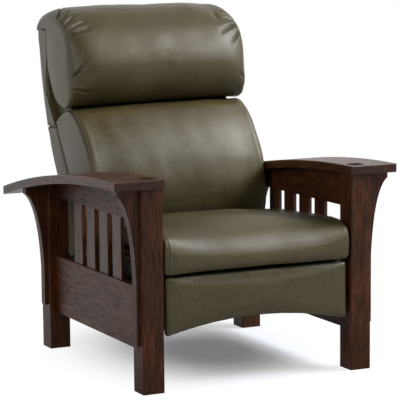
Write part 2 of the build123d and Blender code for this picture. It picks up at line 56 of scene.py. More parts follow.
# Sizes and grids that several pieces share
seat_half = 0.300
outline_points = 260
body_rings = 90
cap_rings = 16
flat_faces = (0.0, 0.0)

# Cloth
voxel = 0.006
cloth_settings = {"quality": 5, "mass": 0.4, "tension_stiffness": 25.0, "compression_stiffness": 25.0,
                  "shear_stiffness": 12.0, "bending_stiffness": 3.0, "use_pressure": True,
                  "uniform_pressure_force": 4.0}
last_frame = 15
evening_rounds = 8
rest_fade = 0.05
rest_margin = 0.03

# Stitching
thread_radius = 0.0008
stitch_length = 0.0055
stitch_points = 5
stitch_inset = 0.006

# Oak: the scales of its noises across and along the grain, the heights between which a tenon's top begins, and the
# depths between which an arm's front edge does
pore_scale = (230.0, 16.0)
band_scale = (34.0, 3.0)
fleck_scale = (60.0, 24.0)
tenon_heights = (0.6150, 0.6154)
arm_end_places = (-0.4772, -0.4792)

# Leather: pebbles in a metre
pebble_scale = 330.0

# Floor and ambient light. The floor's reflection is given near the chair, in front of it and behind it.
world_light = 0.095
front_reflection = 0.02
floor_glow = 0.18
floor_reflection = (0.16, 0.95, 0.78)
floor_colour = (0.80, 0.84, 0.955, 1.0)
floor_bounce = (0.72, 0.72, 0.73, 1.0)
floor_mirrored = (0.22, 0.22, 0.22, 1.0)
floor_half = 12.0
shadow_centre = (0.06, 0.0)
shadow_reach = (0.38, 0.52)
shadow_fade = (0.2, 1.4)
white = (1.0, 1.0, 1.0, 1.0)


# Shader building

class Value:
    """A socket of a material, with arithmetic that adds Math nodes."""

    def __init__(self, paint, socket):
        self.paint = paint
        self.socket = socket

    def maths(self, operation, first, second):
        return self.paint.node("Math", {"operation": operation}, {0: first, 1: second})

    def __add__(self, other):
        return self.maths("ADD", self, other)

    def __sub__(self, other):
        return self.maths("SUBTRACT", self, other)

    def __mul__(self, other):
        return self.maths("MULTIPLY", self, other)

    def __rsub__(self, other):
        return self.maths("SUBTRACT", other, self)

    __radd__ = __add__
    __rmul__ = __mul__


class Paint:
    """The nodes of a material or of the world."""

    def __init__(self, owner):
        self.owner = owner
        owner.use_nodes = True
        self.tree = owner.node_tree
        self.tree.nodes.clear()
        self.place = self.node("TexCoord", {}, {}, "Object")

    def axis(self, number, place=None):
        """One coordinate of a place: 0, 1 or 2 for X, Y or Z."""
        return self.node("SeparateXYZ", {}, {0: self.place if place is None else place}, number)

    def node(self, kind, settings, inputs, out=0):
        """Adds any node: its settings first, then the numbers or links of its sockets."""
        node = self.tree.nodes.new("ShaderNode" + kind)
        for key, setting in settings.items():
            if key == "stops":
                for stop, (position, colour) in zip(two_stops(node, len(setting)), setting):
                    stop.position = position
                    stop.color = colour
            else:
                setattr(node, key, setting)
        for key, source in inputs.items():
            if isinstance(source, Value):
                self.tree.links.new(source.socket, node.inputs[key])
            else:
                node.inputs[key].default_value = source
        return Value(self, node.outputs[out]) if node.outputs else None

    def ramp(self, value, stops):
        return self.node("ValToRGB", {"stops": stops}, {0: value})

    def span(self, value, low, high):
        """0 below low, 1 above high, and smooth between."""
        return self.node("MapRange", {"interpolation_type": "SMOOTHSTEP"},
                         {"Value": value, "From Min": low, "From Max": high})

    def mix(self, share, first, second, kind="MIX"):
        return self.node("Mix", {"data_type": "RGBA", "blend_type": kind}, {0: share, 6: first, 7: second}, 2)

    def noise(self, place, scale, detail=2.0, roughness=0.5, distortion=0.0):
        return self.node("TexNoise", {}, {"Vector": place, "Scale": scale, "Detail": detail,
                                          "Roughness": roughness, "Distortion": distortion})

    def stretched(self, scale, turn=(0.0, 0.0, 0.0), shift=(0.0, 0.0, 0.0)):
        """Object coordinates, shifted, turned and scaled."""
        return self.node("Mapping", {}, {"Vector": self.place, "Scale": scale, "Rotation": turn, "Location": shift})

    def bump(self, height, strength, distance, under=None):
        inputs = {"Strength": strength, "Distance": distance, "Height": height}
        if under is not None:
            inputs["Normal"] = under
        return self.node("Bump", {}, inputs)

    def finish(self, **sockets):
        """The surface shader; underscores in the names stand for spaces."""
        inputs = {key.replace("_", " "): value for key, value in sockets.items()}
        shader = self.node("BsdfPrincipled", {}, inputs)
        self.node("OutputMaterial", {}, {"Surface": shader})
        return self.owner


def new_paint(name):
    return Paint(bpy.data.materials.new(name))


def two_stops(node, count):
    """A colour ramp's stops, as many as are asked for."""
    stops = node.color_ramp.elements
    while len(stops) < count:
        stops.new(1.0)
    return stops


def rgb(red, green, blue):
    """A colour given as 0 to 255, as the renderer wants it."""
    def linear(v):
        v /= 255
        return v / 12.92 if v <= 0.04045 else ((v + 0.055) / 1.055) ** 2.4
    return (linear(red), linear(green), linear(blue), 1.0)


# Materials

def leather(name, tone):
    """Top-grain leather: pebbled grain, faint creases and uneven dye. Painted shade makes it darker where the
    crease shade attribute is 1.
    """
    p = new_paint(name)
    cells = p.node("TexVoronoi", {"feature": "F1"}, {"Vector": p.place, "Scale": pebble_scale, "Randomness": 1.0})
    edges = p.node("TexVoronoi", {"feature": "DISTANCE_TO_EDGE"}, {"Vector": p.place, "Scale": pebble_scale})
    pebble = p.span(edges, 0.0, 0.20)
    creases = p.noise(p.place, 120.0, 5.0, 0.62, 0.5)
    slack = p.noise(p.place, 16.0, 3.0)
    clouds = p.noise(p.place, 4.2, 3.0, 0.55)
    mottle = p.noise(p.place, 60.0, 4.0, 0.6)
    base = p.ramp(clouds, [(0.3, rgb(*(v * 0.90 for v in tone))), (0.7, rgb(*(v * 1.10 for v in tone)))])
    dark = rgb(*(v * 0.66 for v in tone))
    colour = p.mix(0.38 * p.span(mottle, 0.62, 0.34), base, dark)
    colour = p.mix(0.30 * (1 - pebble), colour, dark)
    height = 0.7 * pebble + 0.2 * cells + 0.8 * creases
    # Painted shade: darker in the creases and along the seams, read from the crease shade attribute
    crease = p.node("Attribute", {"attribute_name": "crease"}, {}, "Fac")
    colour = p.mix(0.85 * crease, colour, rgb(*(v * 0.22 for v in tone)))
    rough = 0.25 + 0.07 * clouds + 0.06 * (1 - pebble) + 0.06 * mottle + 0.35 * crease
    fine = p.bump(height, 0.48, 0.0007)
    broad = p.bump(slack, 0.16, 0.005, fine)
    return p.finish(Base_Color=colour, Roughness=rough, Normal=broad, Specular_IOR_Level=0.5)


def oak(name, along, seed, shine=0.12):
    """Dark stained oak: long pores and streaks along the grain, short ray flecks across it, and a satin coat.
    The end grain of the tenons, just above the arms, and of the arms' front edges is darker and duller."""
    p = new_paint(name)
    shift = (seed * 0.37, seed * 0.71, seed * 0.23)
    fine, broad, fleck = ([lengthwise if axis == along else across for axis in range(3)]
                          for across, lengthwise in (pore_scale, band_scale, fleck_scale))
    pores = p.noise(p.stretched(fine, shift=shift), 1.0, 4.0, 0.62)
    bands = p.noise(p.stretched(broad, shift=shift), 1.0, 5.0, 0.6, 0.8)
    rays = p.noise(p.stretched(fleck, turn=(0.2, 0.15, 0.1), shift=shift), 1.0, 2.0, 0.5, 1.2)
    stain = p.noise(p.place, 9.0, 3.0, 0.5)
    base = p.ramp(bands, [(0.28, rgb(50, 24, 10)), (0.5, rgb(71, 37, 17)), (0.74, rgb(96, 51, 25))])
    colour = p.mix(0.55 * p.span(pores, 0.56, 0.40), base, rgb(18, 9, 5))
    colour = p.mix(0.3 * p.span(rays, 0.60, 0.72), colour, rgb(112, 68, 40))
    colour = p.mix(0.25 * p.span(stain, 0.62, 0.38), colour, rgb(28, 15, 8))
    tenon = p.span(p.axis(2), *tenon_heights)
    colour = p.mix(0.85 * tenon, colour, rgb(9, 5, 3))
    rough = 0.31 + 0.14 * (1 - pores) + 0.08 * stain + 0.4 * tenon
    grain = p.bump(pores, 0.6, 0.0008, p.bump(bands, 0.5, 0.002))
    arm_end = p.span(p.axis(1), *arm_end_places)
    colour = p.mix(0.75 * arm_end, colour, rgb(32, 15, 8))
    coat = (0.09 + 0.17 * p.span(pores, 0.42, 0.54)) * (1 - tenon) * (1 - 0.7 * arm_end)
    return p.finish(Base_Color=colour, Roughness=rough, Normal=grain, Specular_IOR_Level=shine, Coat_Weight=coat,
                    Coat_Roughness=0.34)


def hardwood(name):
    """Frame timber with a thin brown stain and faint growth bands."""
    p = new_paint(name)
    bands = p.noise(p.stretched((9.0, 60.0, 60.0)), 1.0, 4.0, 0.6, 0.5)
    pores = p.noise(p.stretched((20.0, 320.0, 320.0)), 1.0, 3.0, 0.6)
    base = p.ramp(bands, [(0.3, rgb(84, 60, 40)), (0.7, rgb(108, 80, 54))])
    colour = p.mix(0.35 * p.span(pores, 0.55, 0.40), base, rgb(60, 42, 28))
    return p.finish(Base_Color=colour, Roughness=0.62 + 0.12 * pores, Normal=p.bump(pores, 0.25, 0.0004))


def painted_steel(name):
    """Black baked enamel on pressed steel, with a slight orange peel and dust in it."""
    p = new_paint(name)
    peel = p.noise(p.place, 420.0, 2.0)
    dust = p.noise(p.place, 26.0, 4.0, 0.6)
    colour = p.mix(0.3 * p.span(dust, 0.5, 0.8), rgb(30, 30, 32), rgb(62, 60, 58))
    return p.finish(Base_Color=colour, Roughness=0.34 + 0.16 * dust, Normal=p.bump(peel, 0.12, 0.0003))


def zinc(name):
    """Zinc-plated pins and bolts, lightly scuffed."""
    p = new_paint(name)
    scuff = p.noise(p.stretched((40.0, 260.0, 260.0)), 1.0, 3.0, 0.6)
    colour = p.mix(0.5 * scuff, rgb(176, 176, 180), rgb(126, 124, 120))
    return p.finish(Base_Color=colour, Metallic=1.0, Roughness=0.28 + 0.2 * scuff,
                    Normal=p.bump(scuff, 0.1, 0.0002))


def webbing(name):
    """Black elastic webbing with lengthwise ribs and a woven texture."""
    p = new_paint(name)
    ribs = p.node("TexWave", {"bands_direction": "X"}, {"Vector": p.place, "Scale": 160.0, "Distortion": 0.4})
    weave = p.noise(p.stretched((500.0, 900.0, 300.0)), 1.0, 2.0)
    ribs = p.node("SeparateColor", {}, {0: ribs})
    colour = p.mix(0.6 * ribs, rgb(22, 22, 23), rgb(54, 53, 52))
    height = 0.6 * ribs + 0.4 * weave
    return p.finish(Base_Color=colour, Roughness=0.8 + 0.1 * weave, Normal=p.bump(height, 0.5, 0.0006))


def cambric(name):
    """Black woven cloth for undersides."""
    p = new_paint(name)
    weave = p.noise(p.stretched((900.0, 900.0, 900.0)), 1.0, 2.0)
    return p.finish(Base_Color=p.mix(0.5 * weave, rgb(16, 16, 16), rgb(38, 38, 38)), Roughness=0.85 + 0.1 * weave,
                    Normal=p.bump(weave, 0.3, 0.0004))


def nylon(name):
    """Brown moulded nylon, scratched by the floor."""
    p = new_paint(name)
    scratch = p.noise(p.stretched((300.0, 60.0, 60.0)), 1.0, 3.0)
    colour = p.mix(0.4 * scratch, rgb(56, 44, 36), rgb(84, 70, 60))
    return p.finish(Base_Color=colour, Roughness=0.5 + 0.2 * scratch, Normal=p.bump(scratch, 0.2, 0.0003))


leather_body = leather("olive_leather", (79, 70, 42))
leather_thread = leather("leather_thread", (112, 104, 86))
oak_upright = oak("oak_upright", 2, 1)
oak_lengthwise = oak("oak_lengthwise", 1, 2)
oak_crosswise = oak("oak_crosswise", 0, 3)
oak_slats = oak("oak_slats", 2, 4, 0.31)
oak_arms = oak("oak_arms", 1, 5, 0.30)
frame_timber = hardwood("frame_timber")
black_enamel = painted_steel("black_enamel")
bright_zinc = zinc("bright_zinc")
black_webbing = webbing("black_webbing")
black_cloth = cambric("black_cloth")
brown_nylon = nylon("brown_nylon")


# Curves. Side views are lists of Y and Z in millimetres, in order round the outline. A point given twice is a corner.

def dense_loop(points):
    """A smooth closed curve through the points, in metres. Each slope is the mean of the slopes on its two sides,
    weighted by the other side's length, and a cubic joins each pair (Hermite)."""
    p = np.array(points, float) / 1000
    ahead = np.roll(p, -1, 0) - p
    gap = np.maximum(np.linalg.norm(ahead, axis=1, keepdims=True), 1e-9)
    slope = ahead / gap
    gap_before, slope_before = np.roll(gap, 1, 0), np.roll(slope, 1, 0)
    tangent = (slope_before * gap + slope * gap_before) / (gap + gap_before)
    t = np.linspace(0.0, 1.0, 24, endpoint=False)[None, :, None]
    a, b = p[:, None], np.roll(p, -1, 0)[:, None]
    m, n = (tangent * gap)[:, None], (np.roll(tangent, -1, 0) * gap)[:, None]
    curve = (2 * t ** 3 - 3 * t ** 2 + 1) * a + (t ** 3 - 2 * t ** 2 + t) * m
    curve += (3 * t ** 2 - 2 * t ** 3) * b + (t ** 3 - t ** 2) * n
    return curve.reshape(-1, 2)


def even_loops(loops, count):
    """The closed curves, all taken at the same even steps of their mean curve's length."""
    mean = sum(loops) / len(loops)
    step = np.linalg.norm(np.roll(mean, -1, 0) - mean, axis=1)
    along = np.concatenate([[0.0], np.cumsum(step)])
    wanted = np.interp(np.linspace(0.0, along[-1], count, endpoint=False), along, np.arange(len(along)))
    low = np.floor(wanted).astype(int)
    share = (wanted - low)[:, None]
    return [loop[low] * (1 - share) + loop[(low + 1) % len(loop)] * share for loop in loops]


def outward(outline):
    """Unit normals of a closed flat outline, pointing away from its inside."""
    slope = np.roll(outline, -1, 0) - np.roll(outline, 1, 0)
    normal = np.stack([slope[:, 1], -slope[:, 0]], 1)
    normal /= np.maximum(np.linalg.norm(normal, axis=1, keepdims=True), 1e-9)
    x, y = outline[:, 0], outline[:, 1]
    area = np.sum(x * np.roll(y, -1) - np.roll(x, -1) * y)
    return normal * (1 if area > 0 else -1)


def nearest(points, line):
    """Each point's distance to the nearest of a line's points, and which one that is."""
    square = np.sum(points ** 2, 1)[:, None] + np.sum(line ** 2, 1)[None] - 2 * points @ line.T
    best = np.argmin(square, axis=1)
    return np.sqrt(np.maximum(square[np.arange(len(points)), best], 0.0)), best


def step_between(values, low, high):
    """0 at low, 1 at high and smooth between: 3 t^2 - 2 t^3."""
    t = np.clip((values - low) / (high - low), 0, 1)
    return t * t * (3 - 2 * t)


def filled(line, step=0.004):
    """A run of straight lines, given in millimetres, as points a step apart in metres."""
    p = np.array(line, float) / 1000
    length = np.concatenate([[0.0], np.cumsum(np.linalg.norm(np.diff(p, axis=0), axis=1))])
    wanted = np.linspace(0.0, length[-1], int(length[-1] / step) + 2)
    return np.stack([np.interp(wanted, length, p[:, i]) for i in range(p.shape[1])], 1)


# Meshes

def mesh_piece(name, vertices, faces, material, body):
    """A named object from arrays of vertices and faces, riding on a body."""
    mesh = bpy.data.meshes.new(name)
    mesh.from_pydata(vertices, [], faces)
    mesh.validate()
    piece = bpy.data.objects.new(name, mesh)
    bpy.context.scene.collection.objects.link(piece)
    mesh.materials.append(material)
    shade_smooth(mesh)
    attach(piece, body)
    return piece


def shade_smooth(mesh):
    mesh.polygons.foreach_set("use_smooth", np.ones(len(mesh.polygons), bool))


def closed_rings(rings, first_pole, last_pole):
    """Vertices and faces of a closed skin over a stack of rings, with a point in the middle of each end."""
    m, n = rings.shape[:2]
    points = np.vstack([rings.reshape(-1, 3), first_pole, last_pole])
    i, j = np.meshgrid(np.arange(m - 1), np.arange(n), indexing="ij")
    k = (j + 1) % n
    quads = np.stack([i * n + j, i * n + k, (i + 1) * n + k, (i + 1) * n + j], -1).reshape(-1, 4)
    j = np.arange(n)
    k = (j + 1) % n
    first = np.stack([np.full(n, m * n), k, j], -1)
    last = np.stack([np.full(n, m * n + 1), (m - 1) * n + j, (m - 1) * n + k], -1)
    a, b, c = points[quads[:, 0]], points[quads[:, 1]], points[quads[:, 2]]
    if np.sum(np.cross(b - a, c - a) * a) < 0:
        quads, first, last = quads[:, ::-1], first[:, ::-1], last[:, ::-1]
    return points, quads.tolist() + first.tolist() + last.tolist()


def laid(flat, level, axis):
    """Flat points put at a level along an axis: their two numbers fill the other two axes in order."""
    level = np.broadcast_to(np.asarray(level, float), flat.shape[:-1])
    parts = [flat[..., 0], flat[..., 1]]
    parts.insert(axis, level)
    return np.stack(parts, -1)


def slab_skin(outline, centre, low, high, axis, edge, crown):
    """A slab of an outline from low to high along an axis. Near each end the outline draws in on a quarter circle
    of the edge's radius. The high and low faces rise by their crown, as one minus the square of the way out."""
    normal = outward(outline)
    centre = np.array(centre, float)
    end_outline = outline - normal * edge
    share = np.linspace(0.0, 1.0, cap_rings + 1)[1:-1]
    angle = np.linspace(0.0, math.pi / 2, 8)
    rings = [laid(centre + (end_outline - centre) * s, low - crown[0] * (1 - s * s), axis) for s in share]
    rings += [laid(outline - normal * edge * (1 - math.sin(a)), low + edge * (1 - math.cos(a)), axis) for a in angle]
    rings += [laid(outline, level, axis) for level in np.linspace(low + edge, high - edge, 14)[1:-1]]
    rings += [laid(outline - normal * edge * (1 - math.sin(a)), high - edge * (1 - math.cos(a)), axis)
              for a in angle[::-1]]
    rings += [laid(centre + (end_outline - centre) * s, high + crown[1] * (1 - s * s), axis) for s in share[::-1]]
    return closed_rings(np.array(rings), laid(centre, low - crown[0], axis), laid(centre, high + crown[1], axis))


# Cloth

def places_of(mesh):
    """A mesh's vertices as an array."""
    flat = np.empty(len(mesh.vertices) * 3)
    mesh.vertices.foreach_get("co", flat)
    return flat.reshape(-1, 3)


def normals_of(mesh):
    flat = np.empty(len(mesh.vertices) * 3)
    mesh.vertex_normals.foreach_get("vector", flat)
    return flat.reshape(-1, 3)


def put_places(mesh, points):
    mesh.vertices.foreach_set("co", points.ravel())
    mesh.update()


def apply_modifiers(piece):
    """Leaves the shape that a leather piece's modifiers make, with no modifiers."""
    graph = bpy.context.evaluated_depsgraph_get()
    mesh = bpy.data.meshes.new_from_object(piece.evaluated_get(graph))
    old, name = piece.data, piece.data.name
    piece.modifiers.clear()
    piece.data = mesh
    bpy.data.meshes.remove(old)
    mesh.name = name
    mesh.materials.clear()
    mesh.materials.append(leather_body)
    shade_smooth(mesh)


def remesh(piece):
    """Even quads of the voxel's size over the whole piece."""
    modifier = piece.modifiers.new("even", "REMESH")
    modifier.mode = "VOXEL"
    modifier.voxel_size = voxel
    apply_modifiers(piece)


def evened(mesh, move, held):
    """Moves of the vertices, smoothed along the mesh's edges: in each round every free vertex takes the mean of
    its own move and its neighbours' mean."""
    ends = np.empty(len(mesh.edges) * 2, np.int32)
    mesh.edges.foreach_get("vertices", ends)
    first, second = ends.reshape(-1, 2).T
    count = np.bincount(ends, minlength=len(move)).clip(1)[:, None]
    for _ in range(evening_rounds):
        total = np.stack([np.bincount(first, move[second, i], len(move))
                          + np.bincount(second, move[first, i], len(move)) for i in range(3)], 1)
        move = np.where(held[:, None], move, 0.5 * move + 0.5 * total / count)
    return move


def inflate(piece, held, reach):
    """Swells a cushion under pressure while the held vertices stay. A point moves its cloth distance d as
    reach times the hyperbolic tangent of d over reach, so never further than its reach."""
    rest = places_of(piece.data)
    group = piece.vertex_groups.new(name="held")
    group.add(np.flatnonzero(held).tolist(), 1.0, "REPLACE")
    cloth = piece.modifiers.new("cloth", "CLOTH")
    cloth.settings.vertex_group_mass = "held"
    for key, setting in cloth_settings.items():
        setattr(cloth.settings, key, setting)
    cloth.settings.effector_weights.gravity = 0.0
    cloth.point_cache.frame_start = 1
    cloth.point_cache.frame_end = last_frame
    for number in range(1, last_frame + 1):
        bpy.context.scene.frame_set(number)
    graph = bpy.context.evaluated_depsgraph_get()
    swollen = places_of(piece.evaluated_get(graph).data)
    piece.modifiers.clear()
    piece.vertex_groups.clear()
    bpy.context.scene.frame_set(1)
    move = evened(piece.data, swollen - rest, held)
    length = np.maximum(np.linalg.norm(move, axis=1), 1e-9)
    share = reach * np.tanh(length / reach) / length
    put_places(piece.data, rest + move * share[:, None])


def smooth_once(piece):
    """One level of subdivision, applied."""
    modifier = piece.modifiers.new("smooth", "SUBSURF")
    modifier.levels = 1
    modifier.render_levels = 1
    apply_modifiers(piece)


class Cushion:
    """A boxed cushion: a front panel that runs round the outline, sewn to a flat panel at each end."""

    def __init__(self, name, node, body, end, middle, half, centre, fullness, corner, inset, rests,
                 lean=(0.0, 0.0, 1.0)):
        """The side view goes from the middle's outline to the end's as the fullness, (1 - u^a)^b, falls with u,
        the place from 0 in the middle to 1 at the end. From its seams outwards it draws in on a quarter circle
        of the corner's radius. Before cloth swells it, it is thinner by the inset, apart from where it rests.
        Its far side sits higher than its near side: the lean is a rise and the two heights it grows between."""
        self.rests = filled(rests)
        self.half = half
        self.seam_x = half - corner
        self.body = body
        self.name = name
        self.end, self.middle = even_loops([dense_loop(end), dense_loop(middle)], outline_points)
        self.seam_line = np.vstack([self.end, self.end[:1]])
        steps = np.linalg.norm(np.diff(self.seam_line, axis=0), axis=1)
        self.seam_along = np.concatenate([[0.0], np.cumsum(steps)])
        turn = np.linspace(-math.pi / 2, math.pi / 2, body_rings)
        place = np.sin(turn)
        past_seam = np.clip(np.abs(place) * half - self.seam_x, 0.0, corner)
        full = np.maximum(1 - np.abs(place) ** fullness[0], 0.0) ** fullness[1]
        flat = self.end[None] + full[:, None, None] * (self.middle - self.end)[None]
        draw_in = np.repeat((corner - np.sqrt(corner ** 2 - past_seam ** 2))[:, None], outline_points, axis=1)
        free = np.stack([np.clip(nearest(o, self.rests)[0] / rest_fade, 0, 1) for o in flat])
        draw_in = draw_in + inset * full[:, None] * free
        flat = flat - np.stack([outward(o) for o in flat]) * draw_in[:, :, None]
        rings = laid(flat, (place * half)[:, None], 0)
        centre = np.array(centre, float) / 1000
        share = np.linspace(0.0, 1.0, cap_rings + 1)[1:-1][:, None, None]
        left = laid(centre + (flat[0] - centre)[None] * share, -half, 0)
        right = laid(centre + (flat[-1] - centre)[None] * share[::-1], half, 0)
        rings = np.concatenate([left, rings, right])
        points, faces = closed_rings(rings, laid(centre, -half, 0), laid(centre, half, 0))
        points[:, 2] += lean[0] * (1 + points[:, 0] / half) * step_between(points[:, 2], lean[1], lean[2])
        self.piece = mesh_piece(name, points, faces, leather_body, body)
        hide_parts(node)

    def swell(self, rest_reach, reach, end_reach):
        """Evens the mesh out and inflates it. The seams stay, and so does what is near the lines it rests on."""
        remesh(self.piece)
        p = places_of(self.piece.data)
        on_end = np.abs(p[:, 0]) > self.seam_x + voxel * 0.3
        seam_gap, _ = nearest(p[:, 1:], self.end)
        held = np.hypot(np.abs(p[:, 0]) - self.seam_x, seam_gap) < voxel * 0.9
        rest_gap, _ = nearest(p[:, 1:], self.rests)
        held |= rest_gap < rest_reach
        inflate(self.piece, held, np.where(on_end, end_reach, reach))
        smooth_once(self.piece)
        # Painted shade for creases and seams, 0 to 1, which the seam and fold steps build up
        self.crease = np.zeros(len(self.piece.data.vertices))

    def seam_place(self, points):
        """Where along the nearer end seam each point is, and how far inwards from it, in metres."""
        _, best = nearest(points[:, 1:], self.end)
        return self.seam_along[best], self.seam_x - np.abs(points[:, 0])

    def along_at(self, place):
        """The way along the end seam of the point nearest a side-view place in millimetres."""
        _, best = nearest(np.array([place], float) / 1000, self.end)
        return self.seam_along[best[0]]

    def press_seams(self, depth, width):
        """Draws the leather in along both end seams, as a bell curve of the distance to them, with painted shade
        along them.
        """
        p, n = places_of(self.piece.data), normals_of(self.piece.data)
        gap, _ = nearest(p[:, 1:], self.end)
        way = np.hypot(gap, np.abs(p[:, 0]) - self.seam_x)
        put_places(self.piece.data, p - n * (depth * np.exp(-(way / width) ** 2))[:, None])
        # painted shade along the seams
        self.crease += 0.6 * np.exp(-(way / (0.6 * width)) ** 2)

    def wave_seams(self, rows):
        """Ridges and hollows that run beside both end seams: each row is a bell curve of the way inwards, given
        by its place, its width and its rise."""
        p, n = places_of(self.piece.data), normals_of(self.piece.data)
        _, way = self.seam_place(p)
        rest_gap, _ = nearest(p[:, 1:], self.rests)
        rise = sum(height * np.exp(-((way - place) / width) ** 2) for place, width, height in rows)
        rise *= np.clip(rest_gap / rest_margin, 0, 1) * np.clip(way / 0.004, 0, 1)
        put_places(self.piece.data, p + n * rise[:, None])

    def gather(self, side, folds):
        """Creases that start at one end seam. Each is a valley with a ridge on both sides, a bell curve less a wider
        one, across a line that runs inwards with a slope, and it fades along its length, with painted shade in its
        valley."""
        p, n = places_of(self.piece.data), normals_of(self.piece.data)
        along, way = self.seam_place(p)
        here = (p[:, 0] * side > 0) & (way > -0.002)
        rise = np.zeros(len(p))
        for place, slope, length, depth, width in folds:
            line = self.along_at(place) + slope * way
            wide = width * (0.7 + 0.9 * np.clip(way / length, 0, 1))
            across = (along - line) / wide
            shape = -np.exp(-across ** 2) + 0.40 * np.exp(-(across / 2.2) ** 2)
            fade = np.clip(1 - way / length, 0, 1) ** 0.7 * np.clip((way + 0.002) / 0.008, 0, 1)
            rise += depth * shape * fade
            # painted shade in the fold's valley
            self.crease += np.exp(-(across * 1.5) ** 2) * fade * np.clip(depth / 0.012, 0, 1) * here
        put_places(self.piece.data, p + n * (rise * here)[:, None])

    def keep_painted_crease_shade(self):
        """Writes how deep in a crease or a seam each vertex lies, 0 to 1, as painted shade for the leather's colour.
        """
        layer = self.piece.data.attributes.new("crease", "FLOAT", "POINT")
        layer.data.foreach_set("value", np.clip(self.crease, 0, 1).astype(np.float32))

    def dent(self, place, size, depth):
        """A soft hollow: a bell curve of the distance, by axis, to a place."""
        p, n = places_of(self.piece.data), normals_of(self.piece.data)
        way = (p - np.array(place) / 1000) / (np.array(size) / 1000)
        put_places(self.piece.data, p - n * (depth * np.exp(-np.sum(way ** 2, 1)))[:, None])

    def ripple(self, seed, height):
        """Slow unevenness of stuffing under leather: a sum of sine waves in random directions, 70 to 240 mm long."""
        rng = np.random.default_rng(seed)
        p, n = places_of(self.piece.data), normals_of(self.piece.data)
        wave = np.zeros(len(p))
        for _ in range(14):
            direction = rng.normal(size=3) * np.array([1.6, 0.6, 0.6])
            direction /= np.linalg.norm(direction)
            wave += np.sin(p @ direction * 2 * math.pi / rng.uniform(0.07, 0.24) + rng.uniform(0, 2 * math.pi))
        rest_gap, _ = nearest(p[:, 1:], self.rests)
        rise = height * wave / 5.0 * np.clip(rest_gap / rest_margin, 0, 1)
        rise *= np.clip((self.seam_x - np.abs(p[:, 0])) / 0.02, 0, 1)
        put_places(self.piece.data, p + n * rise[:, None])

    def stitch(self, name, side, inward_way, first, last):
        """A row of stitches beside an end seam, from one way along it to another, laid on the finished leather."""
        total = self.seam_along[-1]
        start, stop = self.along_at(first), self.along_at(last)
        stop += total if stop < start else 0.0
        count = int((stop - start) / stitch_length) * stitch_points + 1
        wanted = np.linspace(start, stop, count) % total
        flat = np.stack([np.interp(wanted, self.seam_along, self.seam_line[:, i]) for i in range(2)], 1)
        row = laid(flat, side * (self.seam_x - inward_way), 0)
        return thread_on(name, self.piece, row, self.body)


def side_name(name, side):
    return name + ("_left" if side < 0 else "_right")


def thread_on(name, piece, row, body):
    """A thread along a row of points on a piece: a six-sided tube, lifted by a cosine once a stitch."""
    tree = BVHTree.FromObject(piece, bpy.context.evaluated_depsgraph_get())
    found = [tree.find_nearest(Vector(point)) for point in row]
    place = np.array([tuple(hit[0]) for hit in found])
    up = np.array([tuple(hit[1]) for hit in found])
    lift = np.cos(np.arange(len(place)) * 2 * math.pi / stitch_points) * thread_radius * 0.9
    place = place + up * lift[:, None]
    ahead = np.gradient(place, axis=0)
    ahead /= np.maximum(np.linalg.norm(ahead, axis=1, keepdims=True), 1e-9)
    side = np.cross(ahead, up)
    side /= np.maximum(np.linalg.norm(side, axis=1, keepdims=True), 1e-9)
    top = np.cross(side, ahead)
    turn = np.linspace(0, 2 * math.pi, 6, endpoint=False)[None, :, None]
    rings = place[:, None] + (np.cos(turn) * side[:, None] + np.sin(turn) * top[:, None]) * thread_radius
    points, faces = closed_rings(rings, place[0], place[-1])
    return mesh_piece(name, points, faces, leather_thread, body)


# Leather pieces

def make_seat():
    """The boxed seat cushion, with a rounded nose over the footrest."""
    end = [(-430, 344.8), (-440, 337), (-452, 334.8), (-463, 338), (-470, 350), (-475.7, 383), (-471, 420),
           (-459, 441), (-432, 452), (-340, 452), (-203.4, 445.2), (34, 421), (68.3, 410.8), (79.7, 390.5),
           (79.7, 346), (79.7, 346)]
    middle = [(-430, 344.8), (-446, 337), (-462, 334.8), (-477, 339), (-488, 358), (-486, 385), (-473, 415),
              (-446, 442), (-395, 462), (-310, 469), (-203.4, 462), (39.7, 434.5), (74, 423.6), (82.6, 400.7),
              (82.6, 345), (82.6, 345)]
    seat = Cushion("seat_cushion_leather", "seat_cushion", "chair_frame", end, middle, half=seat_half,
                   centre=(-220, 390), fullness=(3.2, 0.8), corner=0.011, inset=0.010,
                   rests=[(-430, 345), (80, 345), (80, 400)])
    seat.swell(rest_reach=0.010, reach=0.014, end_reach=0.003)
    seat.press_seams(depth=0.0022, width=0.0045)
    seat.ripple(seed=3, height=0.0012)
    for side in (-1, 1):
        seat.stitch(side_name("seat_stitches", side), side, stitch_inset, (-467.7, 350), (34, 421))
    seat.keep_painted_crease_shade()


def make_lumbar():
    """The lumbar cushion, with a soft roll beside its seams."""
    back = [(181.2, 434), (181.2, 434), (250, 550.3), (250, 550.3), (356.2, 708), (356.2, 708)]
    end = [(262, 749), (240, 750), (187, 727), (120.4, 667.2), (70, 592), (54.4, 520), (49.6, 450), (58, 415),
           (58, 415)] + back
    middle = [(268, 752), (238, 757), (175.6, 746), (96.4, 683.2), (49.6, 601.6), (33.5, 530), (34, 476), (52, 428),
              (52, 428)] + back
    lumbar = Cushion("lumbar_cushion_leather", "lumbar_cushion", "reclining_back", end, middle, half=0.299,
                     centre=(170, 590), fullness=(2.4, 0.75), corner=0.005, inset=0.010,
                     rests=[(52, 422), (181.2, 434), (250, 550.3), (356.2, 708), (262, 749), (190, 747)],
                     lean=(0.006, 0.60, 0.74))
    lumbar.swell(rest_reach=0.008, reach=0.014, end_reach=0.006)
    lumbar.press_seams(depth=0.0022, width=0.0045)
    lumbar.wave_seams([(0.013, 0.010, 0.0016), (0.062, 0.034, -0.0030)])
    lumbar.ripple(seed=11, height=0.0009)
    for side in (-1, 1):
        lumbar.stitch(side_name("lumbar_stitches", side), side, stitch_inset, (240, 750), (50, 445))
    lumbar.keep_painted_crease_shade()


